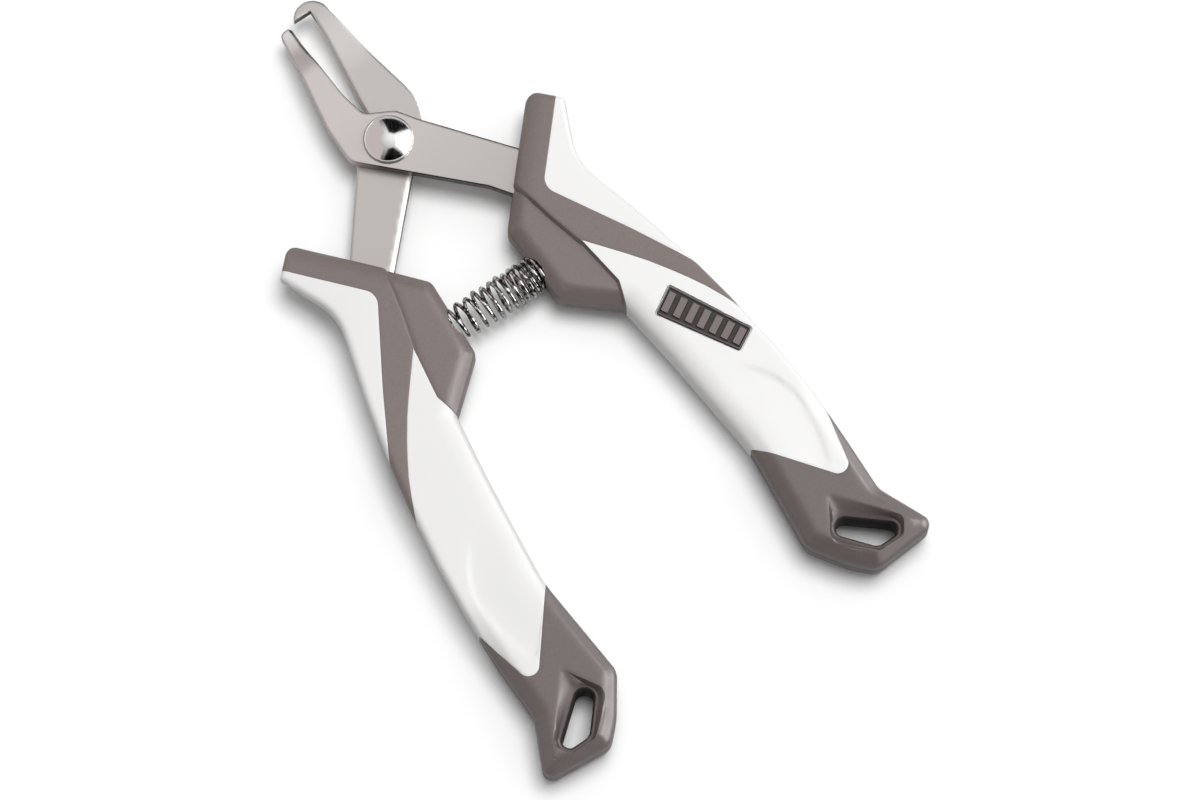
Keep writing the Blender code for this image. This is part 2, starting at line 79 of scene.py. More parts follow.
# Handle outline and its regions
HANDLE = [
    (21.8, -5.4, 2.0), (26.0, -9.6, 0.6), (21.8, -19.3, 10.0), (25.9, -34.0, 60.0),
    (28.7, -46.3, 80.0), (31.1, -64.0, 80.0), (31.5, -76.0, 60.0), (31.2, -87.0, 4.0),
    (35.4, -96.2, 1.5), (24.1, -97.1, 2.5), (21.0, -94.0, 10.0), (17.1, -88.3, 3.0),
    (18.7, -70.8, 20.0), (16.9, -53.5, 60.0), (15.4, -42.4, 0.5), (7.5, -35.6, 1.5),
    (6.9, -22.4, 1.8),
]
INNER_SIDE = [*HANDLE[8:], HANDLE[0]]
PAD_REGION = [
    (10.6, -10.5, 0), (11.8, -16.6, 0), (13.5, -24.5, 0), (15.05, -30.2, 0), (15.8, -31.6, 0),
    (16.9, -38.8, 1.5), (15.75, -42.9, 0), (14.2, -45.3, 0), (1.0, -45.3, 0), (1.0, -10.5, 0),
]
GUARD_REGION = [
    (26.5, -7.0, 0), (15.1, -20.1, 2.5), (22.7, -33.2, 60.0), (29.5, -45.9, 0), (34.0, -46.0, 0),
    (34.0, -56.5, 0), (31.2, -56.5, 0), (27.0, -46.7, 40.0), (22.0, -38.7, 60.0), (15.3, -30.4, 0),
    (16.5, -38.7, 1.5), (15.4, -42.4, 0), (14.6, -44.3, 0), (2.0, -44.3, 0), (2.0, -2.0, 0),
    (26.2, -2.0, 0),
]
END_REGION = [
    (15.9, -67.9, 0), (28.7, -84.3, 1.6), (31.97, -70.0, 0), (38.0, -70.0, 0), (38.0, -100.0, 0),
    (12.0, -100.0, 0), (12.0, -67.9, 0),
]
WING_LINE = [(15.0, -25.0), (32.0, -52.0)]
DISH = [
    (23.9, -83.4, 0.8), (31.6, -92.8, 1.2), (30.0, -95.3, 1.0), (25.6, -95.3, 1.5), (20.2, -90.2, 1.8),
]
HOLE_RIM = [
    (23.2, -86.2, 2.0), (31.1, -92.8, 1.6), (29.8, -94.9, 1.6), (25.8, -94.9, 2.4), (21.0, -89.2, 1.8),
]
PANEL_EDGE = [
    (24.0, -59.0, 0), (28.7, -65.3, 12.0), (29.0, -70.0, 12.0), (28.4, -75.0, 12.0), (27.0, -80.0, 0),
]
PANEL_INNER = [(12.0, -80.0), (12.0, -59.0)]

# Handle section: heights are above the middle plane, and (start, end) pairs are where a blend runs
FACE = 4.8
PAD_FACE = 4.0
DISH_FLOOR = 3.0
HOLE_EDGE = 2.3
HOLE_DRAFT = 0.6
FRONT_WALL = 3.6
FRONT_ROUND = 0.9
REAR_TAPER = [(0.0, -1.5), (1.9, 4.45), (2.1, 4.68), (2.4, FACE)]
TAPER_BLEND = (0.0, 1.5)
INNER_WALL = 2.2
INNER_ROUND = 3.4
TIP_DROP = 1.2
TIP_BLEND = (-5.0, 13.0)
END_BLEND = (66, 78)
END_SECTION = [
    (0.0, 1.9), (0.06, 2.5), (0.36, 3.12), (0.9, 3.62), (1.65, 4.42), (2.1, 4.73), (2.6, FACE),
]
PAD_SECTION = [
    (0.0, 1.3), (0.15, 2.0), (1.2, 3.2), (1.4, 3.38), (1.9, 3.84), (2.1, 3.95), (2.4, PAD_FACE),
]
PAD_DIP = 0.12
PAD_DIP_BLEND = (0.3, 0.9)
PAD_BORDER = 0.36
PAD_JOINT = 0.06
DISH_BANK = 1.2
DISH_LIFT = 0.04
DISH_SOFTNESS = 0.07
PANEL_DEPTH = 0.36
PANEL_START = (58, 64)
PANEL_END = (78, 82)
PANEL_STEP = (-0.3, 0.4)
PANEL_FADE = (0.7, 7.0)
SEAM_DEPTH = 0.12
SEAM_HALF = 0.04
SEAM_ABOVE = 0.2
HOLE_WALL = 0.5

# Creases beside the regions, as a drop and the width it takes
GROOVE = (0.05, 0.2)
STRAP_EDGE = (0.14, 0.36)

# Handle mesh
OUTLINE_STEP = 0.9
GRID = 0.55
CLEAR = 0.2
RINGS = (0.06, 0.18, 0.36, 0.6, 0.9, 1.25, 1.65, 2.1, 2.6, 3.1)
CREASE_LOOPS = (0.16, -0.16)
BORDER_LOOPS = (PAD_BORDER, -PAD_BORDER)
RIM_LOOP = 0.3
BADGE_LOOP = 0.12
BADGE_CLEAR = 0.14

# Plates
PLATE_INNER = 0.15
PLATE_OUTER = 2.0
CRANK_START = 17.0
CRANK_END = 19.5
CRANK_DROP = 1.075
NOSE_EASE = 1.2
HOOK_EASE = 4.5
NOSE_POINT = 20.6
NOSE_POINT_SLOPE = 0.1
NOSE_POINT_REACH = 4.0
NOSE_BEVEL = (0.7, 0.4)
NOSE_BEVEL_BLEND = (17.0, 21.0)
HOOK_BEVEL = (0.5, 0.65)
BORE_RADIUS = 2.06
BORE_SIDES = 48
EDGE_BREAK = 0.1
EDGE_WIDTH = 0.14
EDGE_POWER = 1.5
PLATE_STEP = 0.8
PLATE_GRID = 0.7
PLATE_CLEAR = 0.25
PLATE_RINGS = (0.06, EDGE_WIDTH, 0.45, 0.65)
PLATE_SHARP = math.radians(30)
# Plate faces steeper than these take the edge steel, which is painted in shade
NOSE_DARK = 0.9
HOOK_DARK = 0.35
NOSE_PLATE = [
    (-2.5, 23.9, 0.7), (-4.5, 23.6, 0.9), (-4.9, 19.5, 8.0), (-6.8, 6.6, 6.0), (-6.8, 0.4, 3.0),
    (8.7, -14.7, 4.0), (10.9, -17.7, 0), (12.6, -20.0, 6.0), (16.2, -33.5, 8.0), (20.2, -59.0, 1.5),
    (25.6, -59.0, 1.5), (24.6, -44.0, 30.0), (20.5, -18.0, 8.0), (5.6, 0.3, 6.0), (3.5, 3.3, 2.5),
    (-0.9, 5.6, 2.0), (-1.8, 9.6, 10.0), (-2.4, 18.2, 6.0),
]
HOOK_TIP_CENTRE = (1.1, 23.05)
HOOK_TIP_RADIUS = 2.9
HOOK_TIP_START = math.radians(-2)
HOOK_TIP_SHORT = math.radians(6)
HOOK_TOOTH = [(-1.45, 24.3), (1.5, 24.3)]
HOOK_PLATE = [
    (1.4, 19.4, 8.0), (0.9, 14.5, 20.0), (0.2, 8.2, 10.0), (0.0, 5.5, 2.0), (-5.0, 1.0, 3.0),
    (-19.6, -18.1, 10.0), (-24.6, -44.0, 30.0), (-25.6, -59.0, 1.5), (-20.2, -59.0, 1.5),
    (-16.2, -33.5, 8.0), (-12.6, -20.0, 6.0), (-10.5, -17.5, 0), (0.3, -6.1, 2.0), (5.2, -3.2, 4.0),
    (7.8, 4.0, 10.0), (7.0, 7.3, 6.0), (5.4, 14.9, 20.0),
]

# Pivot
HEAD_BASE = 2.35
HEAD_RADIUS = 3.7
POST_RADIUS = 2.0
RIM_RISE = 0.25
WASHER_RADIUS = 3.85
WASHER_EDGE = 0.06
WASHER_INNER = 2.05
WASHER_OUTER = 2.3
SHIM_RADIUS = 4.2
SHIM_HALF = 0.1
DOME_RADIUS = 3.5
DOME_RISE = 1.35
DOME_RINGS = 24
TURNED_SIDES = 128

# Spring
SPRING_Y = -29.5
SPRING_RADIUS = 2.3
SPRING_SWELL = 0.5
SPRING_SAG = 0.35
WIRE_RADIUS = 0.3
SPRING_HALF = 10.2
SPRING_TURNS = 19
CLOSE_TURNS = 2.4
CLOSE_PITCH = 0.72
PITCH_CHANGE = 0.5
SWAY = 0.14
SWAY_RATES = (1.7, 2.3)
SOCKET_RADIUS = 2.95
SOCKET_END = 10.6
SOCKET_SIDES = 48
COIL_STEPS = 36
WIRE_SIDES = 12
TURN_STEP = 0.002

# Badge inlay
BADGE_CORNERS = [(22.3, -43.7, 0.3), (18.2, -46.2, 0.3), (25.5, -58.0, 0.3), (28.9, -56.1, 0.3)]
BADGE_FLOOR = 4.3
BADGE_BASE = 4.72
BADGE_TOP = 5.1
RIB_COUNT = 7
RIB_HALF_WIDTH = 0.66
RIB_MARGIN = 0.13
RIB_SLOPE = 0.12
BORDER_WIDTH = 0.3
BORDER_RISE = (-0.05, 0.1)
BORDER_TOP = (0.1, 0.2)
BORDER_SHARE = 0.8
BADGE_STEP = 0.5
BADGE_GRID = 0.3
BADGE_MESH_CLEAR = 0.07

# Camera and studio
CAMERA_TILT = math.radians(14.2)
CAMERA_TURN = math.radians(-33.8)
CAMERA_DISTANCE = 874.0
CAMERA_TARGET = (4.32, -51.7, 0.0)
CAMERA_LENS = 173.1
KEY_DIRECTION = (0.19, 0.07, 0.98)
KEY_ANGLE = math.radians(28)
KEY_STRENGTH = 2.0
FLOOR_SEEN = 0.92
FLOOR_BOUNCE = 0.6
FLOOR_SIZE = 3.0
FLOOR_GAP = 0.00002
SKY_DIRECTION = (0.35, 0.12, 0.92)
SKY_LEVELS = [(0.0, 0.14), (0.5, 0.36), (0.85, 0.72), (1.0, 1.05)]

# Reflection cards: azimuth, half width, lower and upper elevation, taper, colour and strength
CARD_REACH = 0.5
CARD_COLUMNS = 12
CARDS = {
    "card_far": (39.0, 34.0, -1.0, 61.0, 0.5, (0.0, 0.0, 0.0), 0.0),
    "card_near": (-107.0, 38.0, -1.0, 64.0, 0.5, (0.0, 0.0, 0.0), 0.0),
    "card_left": (144.0, 66.0, -1.0, 62.0, 0.9, (0.6, 0.54, 0.535), 1.0),
    "card_right": (-32.0, 36.0, 14.0, 62.0, 0.8, (1.0, 1.0, 1.0), 3.5),
    "card_low": (-32.0, 36.0, -1.0, 13.5, 1.0, (1.0, 1.0, 1.0), 13.0),
}

# Noise values rarely leave this span
NOISE_SPAN = (0.3, 0.7)

# Rubber shades, darkest and lightest grain first
RUBBER_DARK = (0.163, 0.133, 0.126)
RUBBER_LIGHT = (0.186, 0.153, 0.145)
END_SHADE = 0.78
# The lanyard hole's walls are painted in shade: their rubber is this much darker than the pads'
HOLE_PAINTED_SHADE = 0.2
HOLE_ROUGHER = 0.35


# Outlines


def mirrored(corners, side):
    """The corners for side 1 (right) or -1 (left)."""
    return [(side * corner[0], *corner[1:]) for corner in corners]


def arc(centre, radius, start, end):
    """Points on an arc, ends included, with the angles in radians."""
    steps = max(1, math.ceil(abs(end - start) / ARC_STEP))
    angles = [start + (end - start) * i / steps for i in range(steps + 1)]
    return [(centre[0] + radius * math.cos(a), centre[1] + radius * math.sin(a)) for a in angles]


def fillet(before, corner, after):
    """The corner's arc, or the corner itself where its radius is zero."""
    here = Vector(corner[:2])
    towards = (Vector(before[:2]) - here).normalized()
    away = (Vector(after[:2]) - here).normalized()
    turn = math.pi - towards.angle(away)
    if corner[2] == 0 or turn < 1e-4:
        return [tuple(here)]
    back = corner[2] * math.tan(turn / 2)
    middle = here + (towards + away).normalized() * corner[2] / math.cos(turn / 2)
    first = here + towards * back - middle
    last = here + away * back - middle
    start = math.atan2(first.y, first.x)
    return arc(middle, corner[2], start, start + math.atan2(first.cross(last), first.dot(last)))


def anticlockwise(points):
    turns = sum(a[0] * b[1] - b[0] * a[1] for a, b in zip(points, points[1:] + points[:1]))
    return points if turns > 0 else points[::-1]


def rounded(corners):
    """A closed outline, anticlockwise, with each corner rounded to its own radius."""
    points = []
    for i, corner in enumerate(corners):
        points += fillet(corners[i - 1], corner, corners[(i + 1) % len(corners)])
    return anticlockwise(points)


def curve(corners):
    """An open line from the first corner to the last, with the corners between them rounded."""
    points = [corners[0][:2]]
    for before, corner, after in zip(corners, corners[1:], corners[2:]):
        points += fillet(before, corner, after)
    return [*points, corners[-1][:2]]


def spaced(points, step):
    """A closed outline with extra points, so that no side is longer than step."""
    made = []
    for (x0, y0), (x1, y1) in zip(points, points[1:] + points[:1]):
        count = max(1, math.ceil(math.hypot(x1 - x0, y1 - y0) / step))
        made += [(x0 + (x1 - x0) * i / count, y0 + (y1 - y0) * i / count) for i in range(count)]
    return made


def distance(points, line, closed=True):
    """The distance of each point from a line of points."""
    points = np.asarray(points, float)[:, None, :]
    starts = np.asarray(line, float)[None, :, :]
    ends = np.roll(starts, -1, axis=1)
    if not closed:
        starts, ends = starts[:, :-1], ends[:, :-1]
    along = ends - starts
    share = ((points - starts) * along).sum(2) / (along**2).sum(2)
    nearest = starts + np.clip(share, 0, 1)[..., None] * along
    return np.sqrt(((points - nearest) ** 2).sum(2)).min(1)


def inside(points, outline):
    """Whether each point is inside a closed outline."""
    x, y = np.asarray(points, float).T[:, :, None]
    x0, y0 = np.asarray(outline, float).T[:, None, :]
    x1, y1 = np.roll(x0, -1, axis=1), np.roll(y0, -1, axis=1)
    spans = (y0 > y) != (y1 > y)
    rise = np.where(y1 == y0, 1.0, y1 - y0)
    crossed = spans & (x < x0 + (y - y0) * (x1 - x0) / rise)
    return crossed.sum(1) % 2 == 1


def depth_in(points, outline):
    """The distance of each point from an outline, counted as negative outside it."""
    return np.where(inside(points, outline), 1, -1) * distance(points, outline)


def inset(outline, depth):
    """An anticlockwise outline moved inwards by depth, or outwards where depth is negative."""
    points = np.asarray(outline, float)
    before = points - np.roll(points, 1, axis=0)
    after = np.roll(points, -1, axis=0) - points
    before /= np.linalg.norm(before, axis=1)[:, None]
    after /= np.linalg.norm(after, axis=1)[:, None]
    normal = before + after
    normal = np.stack([-normal[:, 1], normal[:, 0]], axis=1)
    normal /= np.linalg.norm(normal, axis=1)[:, None]
    lean = normal[:, 0] * -after[:, 1] + normal[:, 1] * after[:, 0]
    moved = points + normal * (depth / lean)[:, None]
    clear = distance(moved, outline) > abs(depth) - 1e-3
    return [tuple(p) for p in moved[clear]]


def smooth(value, start, end):
    """0 before start, 1 after end, easing between them."""
    share = np.clip((value - start) / (end - start), 0, 1)
    return share * share * (3 - 2 * share)


def lower_of(a, b, softness):
    """The lower of two heights, with the crease between them rounded."""
    return -softness * np.logaddexp(-a / softness, -b / softness)


# Meshes


def plan_of(outline, loops, grid, clear):
    """Plan points and triangles that follow an outline, the loops inside it, and a grid between them."""
    points, edges = [], []
    for loop in [outline, *loops]:
        first = len(points)
        edges += [(first + i, first + (i + 1) % len(loop)) for i in range(len(loop))]
        points += loop
    low, high = np.min(outline, axis=0), np.max(outline, axis=0)
    taken = [p for loop in [outline, *loops] for p in spaced(loop, clear)]
    tree = KDTree(len(taken))
    for i, (x, y) in enumerate(taken):
        tree.insert((x, y, 0), i)
    tree.balance()
    for i, y in enumerate(np.arange(low[1], high[1], grid * math.sqrt(0.75))):
        xs = np.arange(low[0] + grid * (i % 2) / 2, high[0], grid)
        row = np.stack([xs, np.full(len(xs), y)], axis=1)
        points += [tuple(p) for p in row[inside(row, outline)] if tree.find((*p, 0))[2] > clear]
    found = delaunay_2d_cdt([Vector(p) for p in points], edges, [], 0, 1e-5)
    plan = np.array([tuple(p) for p in found[0]])
    faces = np.array([tuple(f) for f in found[2]])
    return plan, faces[inside(plan[faces].mean(1), outline)]


def piece_of(plan, faces, keep, top, bottom, wall=None):
    """A closed solid over the kept triangles, from heights top and bottom, with walls down its edges.

    wall is an outline and the (share of the height, inward shift) rows down the edges on it.
    """
    faces = faces[keep]
    used, place = np.unique(faces, return_inverse=True)
    faces = place.reshape(faces.shape)
    plan = plan[used]
    count = len(plan)
    corners = [*np.column_stack([plan, top[used]]), *np.column_stack([plan, bottom[used]])]
    made = [tuple(f) for f in faces] + [tuple(f + count)[::-1] for f in faces]
    directed = {(f[i], f[(i + 1) % 3]) for f in faces for i in range(3)}
    open_edges = sorted((a, b) for a, b in directed if (b, a) not in directed)
    levels = {}
    if wall:
        outline, rows = wall
        ends = sorted({i for edge in open_edges for i in edge})
        on_outline = dict(zip(ends, distance(plan[ends], outline) < ON_LINE))
        inward = inward_normals(plan, open_edges)
        for i in ends:
            levels[i] = [i]
            low, high = corners[i + count][2], corners[i][2]
            for share, shift in rows:
                x, y = plan[i] + inward[i] * (shift if on_outline[i] else 0)
                levels[i].append(len(corners))
                corners.append((x, y, low + (high - low) * share))
            levels[i].append(i + count)
    for a, b in open_edges:
        left, right = (levels.get(i, [i, i + count]) for i in (a, b))
        for k in range(len(left) - 1):
            made.append((right[k], left[k], left[k + 1], right[k + 1]))
    return corners, made


def inward_normals(plan, open_edges):
    """A unit vector into the solid at each end of its open edges."""
    normals = {}
    for a, b in open_edges:
        along = plan[b] - plan[a]
        turned = np.array([-along[1], along[0]]) / max(np.hypot(*along), 1e-9)
        for i in (a, b):
            normals[i] = normals.get(i, 0) + turned
    return {i: n / max(np.hypot(*n), 1e-9) for i, n in normals.items()}


def add_piece(name, shape, body, materials, replaced=(), sharp=SHARP):
    """A named mesh piece from corners and faces in millimetres, riding on a CAD body."""
    corners, faces = shape
    mesh = bpy.data.meshes.new(name)
    mesh.from_pydata([(x * MM, y * MM, (z + MIDDLE) * MM) for x, y, z in corners], [], faces)
    work = bmesh.new()
    work.from_mesh(mesh)
    bmesh.ops.recalc_face_normals(work, faces=work.faces)
    work.to_mesh(mesh)
    work.free()
    for material in materials:
        mesh.materials.append(material)
    mesh.shade_smooth()
    mesh.set_sharp_from_angle(angle=sharp)
    obj = bpy.data.objects.new(name, mesh)
    bpy.context.scene.collection.objects.link(obj)
    if body:
        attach(obj, body)
    if replaced:
        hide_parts(*replaced)
    return obj


def circle(x, y, radius, sides):
    angles = [2 * math.pi * i / sides for i in range(sides)]
    return [(x + radius * math.cos(a), y + radius * math.sin(a)) for a in angles]


def turned(profile):
    """A solid turned about the pivot axis from (radius, height) points. Radius 0 is on the axis."""
    sides = TURNED_SIDES
    corners, rows = [], []
    for radius, height in profile:
        first = len(corners)
        ring = [(0.0, 0.0)] if radius == 0 else circle(0, 0, radius, sides)
        corners += [(x, y, height) for x, y in ring]
        rows.append([first + i % len(ring) for i in range(sides + 1)])
    if profile[0][0] > 0:
        rows.append(rows[0])
    faces = []
    for low, high in zip(rows, rows[1:]):
        for i in range(sides):
            faces.append(tuple(dict.fromkeys([low[i], low[i + 1], high[i + 1], high[i]])))
    return corners, faces


# Materials


class Surface:
    """A Principled material and the few kinds of node that its finish is built from."""

    def __init__(self, name, colour, roughness, metallic=0.0):
        self.material = bpy.data.materials.new(name)
        self.material.use_nodes = True
        self.nodes = self.material.node_tree.nodes
        self.links = self.material.node_tree.links
        self.shader = self.nodes["Principled BSDF"]
        self.place = self.nodes.new("ShaderNodeTexCoord").outputs["Object"]
        self.shader.inputs["Base Color"].default_value = (*colour, 1.0)
        self.shader.inputs["Roughness"].default_value = roughness
        self.shader.inputs["Metallic"].default_value = metallic

    def noise(self, size, detail=2.0, stretch=(1, 1, 1)):
        """Noise whose grains are about size millimetres, stretched along the axes."""
        mapping = self.nodes.new("ShaderNodeMapping")
        mapping.inputs["Scale"].default_value = [1 / s for s in stretch]
        self.links.new(self.place, mapping.inputs["Vector"])
        noise = self.nodes.new("ShaderNodeTexNoise")
        noise.inputs["Scale"].default_value = 1 / (size * MM)
        noise.inputs["Detail"].default_value = detail
        self.links.new(mapping.outputs["Vector"], noise.inputs["Vector"])
        return noise.outputs["Fac"]

    def ramp(self, value, stops):
        """Colours or greys by (position, colour) stops."""
        ramp = self.nodes.new("ShaderNodeValToRGB")
        ramp.color_ramp.elements.remove(ramp.color_ramp.elements[1])
        for i, (position, colour) in enumerate(stops):
            element = ramp.color_ramp.elements[0] if i == 0 else ramp.color_ramp.elements.new(position)
            element.position = position
            element.color = (*colour, 1.0) if len(colour) == 3 else (*colour * 3, 1.0)
        self.links.new(value, ramp.inputs["Fac"])
        return ramp.outputs["Color"]

    def along(self, axis, start, end):
        """0 to 1 between two places in millimetres along an axis."""
        split = self.nodes.new("ShaderNodeSeparateXYZ")
        self.links.new(self.place, split.inputs["Vector"])
        spread = self.nodes.new("ShaderNodeMapRange")
        spread.inputs["From Min"].default_value = start * MM
        spread.inputs["From Max"].default_value = end * MM
        self.links.new(split.outputs[axis], spread.inputs["Value"])
        return spread.outputs["Result"]

    def into(self, name, value):
        self.links.new(value, self.shader.inputs[name])

    def vary(self, name, value, low, high):
        """Drives a shader input between low and high with a noise value."""
        spread = self.nodes.new("ShaderNodeMapRange")
        spread.inputs["From Min"].default_value = NOISE_SPAN[0]
        spread.inputs["From Max"].default_value = NOISE_SPAN[1]
        spread.inputs["To Min"].default_value = low
        spread.inputs["To Max"].default_value = high
        self.links.new(value, spread.inputs["Value"])
        self.into(name, spread.outputs["Result"])

    def bump(self, value, strength, height):
        """Relief from a noise value, height in millimetres, on top of any relief added before."""
        bump = self.nodes.new("ShaderNodeBump")
        bump.inputs["Strength"].default_value = strength
        bump.inputs["Distance"].default_value = height * MM
        self.links.new(value, bump.inputs["Height"])
        normal = self.shader.inputs["Normal"]
        if normal.is_linked:
            self.links.new(normal.links[0].from_socket, bump.inputs["Normal"])
        self.links.new(bump.outputs["Normal"], normal)


def white_plastic():
    """Smooth white moulding with painted light: whiter towards the badge side, the side the light comes
    from.
    """
    surface = Surface("white_plastic", (0.74, 0.735, 0.73), 0.4)
    # painted light: the colour brightens from the left handle to the right
    side = surface.along("X", -32.0, 30.0)
    stops = [(0.0, (0.72, 0.715, 0.71)), (1.0, (0.79, 0.785, 0.78))]
    surface.into("Base Color", surface.ramp(side, stops))
    surface.vary("Roughness", surface.noise(0.8, 4.0), 0.34, 0.46)
    surface.bump(surface.noise(0.35, 3.0), 0.25, 0.01)
    return surface.material


def rubber(name, shade, rougher=0.0):
    """Soft-touch warm grey with a very fine grain."""
    dark = [shade * c for c in RUBBER_DARK]
    light = [shade * c for c in RUBBER_LIGHT]
    surface = Surface(name, light, 0.6)
    surface.into("Base Color", surface.ramp(surface.noise(0.3, 4.0), [(0.3, dark), (0.7, light)]))
    surface.vary("Roughness", surface.noise(1.6, 3.0), 0.36 + rougher, 0.48 + rougher)
    surface.bump(surface.noise(0.16, 3.0), 0.5, 0.02)
    return surface.material


def grey_rubber():
    return rubber("grey_rubber", 1.0)


def end_rubber():
    return rubber("end_rubber", END_SHADE)


def hole_rubber_painted_shade():
    """Painted shade: a much darker rubber down the walls of the lanyard hole."""
    return rubber("hole_rubber_painted_shade", HOLE_PAINTED_SHADE, HOLE_ROUGHER)


def satin_steel(name, jaw, tip):
    """Satin steel in its jaw's colour, a little darker at the tang, with its own colour at the jaw's
    tip, which on the nose jaw is a painted highlight.
    """
    surface = Surface(name, jaw, 0.36, 1.0)
    stops = [(0.0, (0.59, 0.558, 0.535)), (0.6, jaw), (0.84, jaw), (0.9, tip)]
    surface.into("Base Color", surface.ramp(surface.along("Y", -22.0, 28.0), stops))
    surface.vary("Roughness", surface.noise(0.3, 3.0), 0.34, 0.42)
    surface.bump(surface.noise(0.12, 3.0), 0.2, 0.006)
    return surface.material


def hook_steel():
    return satin_steel("hook_steel", (0.67, 0.635, 0.61), (0.65, 0.62, 0.59))


def nose_steel():
    # painted highlight: the nose jaw's tip is near white
    return satin_steel("nose_steel", (0.74, 0.69, 0.67), (1.0, 0.96, 0.94))


def edge_steel_painted_shade():
    """Cut edges, bright at the jaws, with painted shade: near black towards the handles, where the
    plates lie over one another, and dark again at the very tips.
    """
    surface = Surface("edge_steel_painted_shade", (0.2, 0.18, 0.17), 0.36, 1.0)
    dark, bright = (0.05, 0.04, 0.038), (0.6, 0.56, 0.54)
    # painted shade: near black up to y = -3 mm, bright from 0.4 to 22.2 mm, dark again past 23.3 mm
    stops = [(0.0, dark), (0.12, bright), (0.9, bright), (0.94, (0.12, 0.105, 0.1))]
    surface.into("Base Color", surface.ramp(surface.along("Y", -3.0, 25.0), stops))
    surface.vary("Roughness", surface.noise(0.2, 2.0, (1.0, 1.0, 10.0)), 0.28, 0.44)
    surface.bump(surface.noise(0.12, 2.0, (1.0, 1.0, 12.0)), 0.3, 0.01)
    return surface.material


def polished_steel():
    surface = Surface("polished_steel", (0.86, 0.845, 0.84), 0.12, 1.0)
    surface.vary("Roughness", surface.noise(1.0, 3.0), 0.12, 0.17)
    surface.bump(surface.noise(2.0, 2.0), 0.12, 0.01)
    return surface.material


def washer_steel():
    surface = Surface("washer_steel", (0.36, 0.34, 0.33), 0.3, 1.0)
    surface.vary("Roughness", surface.noise(0.3, 3.0), 0.22, 0.38)
    surface.bump(surface.noise(0.2, 2.0), 0.2, 0.005)
    return surface.material


def washer_bronze():
    surface = Surface("washer_bronze", (0.5, 0.36, 0.2), 0.35, 1.0)
    surface.vary("Roughness", surface.noise(0.4, 3.0), 0.28, 0.45)
    surface.bump(surface.noise(0.2, 2.0), 0.2, 0.005)
    return surface.material


def spring_steel():
    surface = Surface("spring_steel", (0.36, 0.34, 0.33), 0.1, 1.0)
    # painted reflections: blotches from near black to bright stand in for the coil's dark and lit
    # reflections
    painted_reflections = surface.noise(0.7, 4.0)
    stops = [(0.4, (0.03, 0.026, 0.025)), (0.62, (0.78, 0.76, 0.74))]
    surface.into("Base Color", surface.ramp(painted_reflections, stops))
    surface.vary("Roughness", surface.noise(0.5, 3.0), 0.06, 0.16)
    surface.bump(surface.noise(0.15, 2.0), 0.2, 0.006)
    return surface.material


def badge_grey():
    """Painted shade: dark in the grooves and lighter on top of the ribs."""
    surface = Surface("badge_grey", (0.16, 0.135, 0.128), 0.5)
    # painted shade by height: the lowest parts are darkest
    rise = surface.along("Z", BADGE_BASE + MIDDLE + 0.05, BADGE_TOP + MIDDLE - 0.02)
    stops = [(0.0, (0.03, 0.025, 0.023)), (0.5, (0.07, 0.058, 0.054)), (1.0, (0.165, 0.137, 0.13))]
    surface.into("Base Color", surface.ramp(rise, stops))
    surface.vary("Roughness", surface.noise(0.5, 3.0), 0.4, 0.6)
    surface.bump(surface.noise(0.15, 3.0), 0.4, 0.012)
    return surface.material


# Handles


def shoulder(depth, width, wall):
    """The height of an edge rounded over a width, from the top of its wall up to the face."""
    return wall + (FACE - wall) * np.sqrt(1 - (1 - np.clip(depth / width, 0, 1)) ** 2)


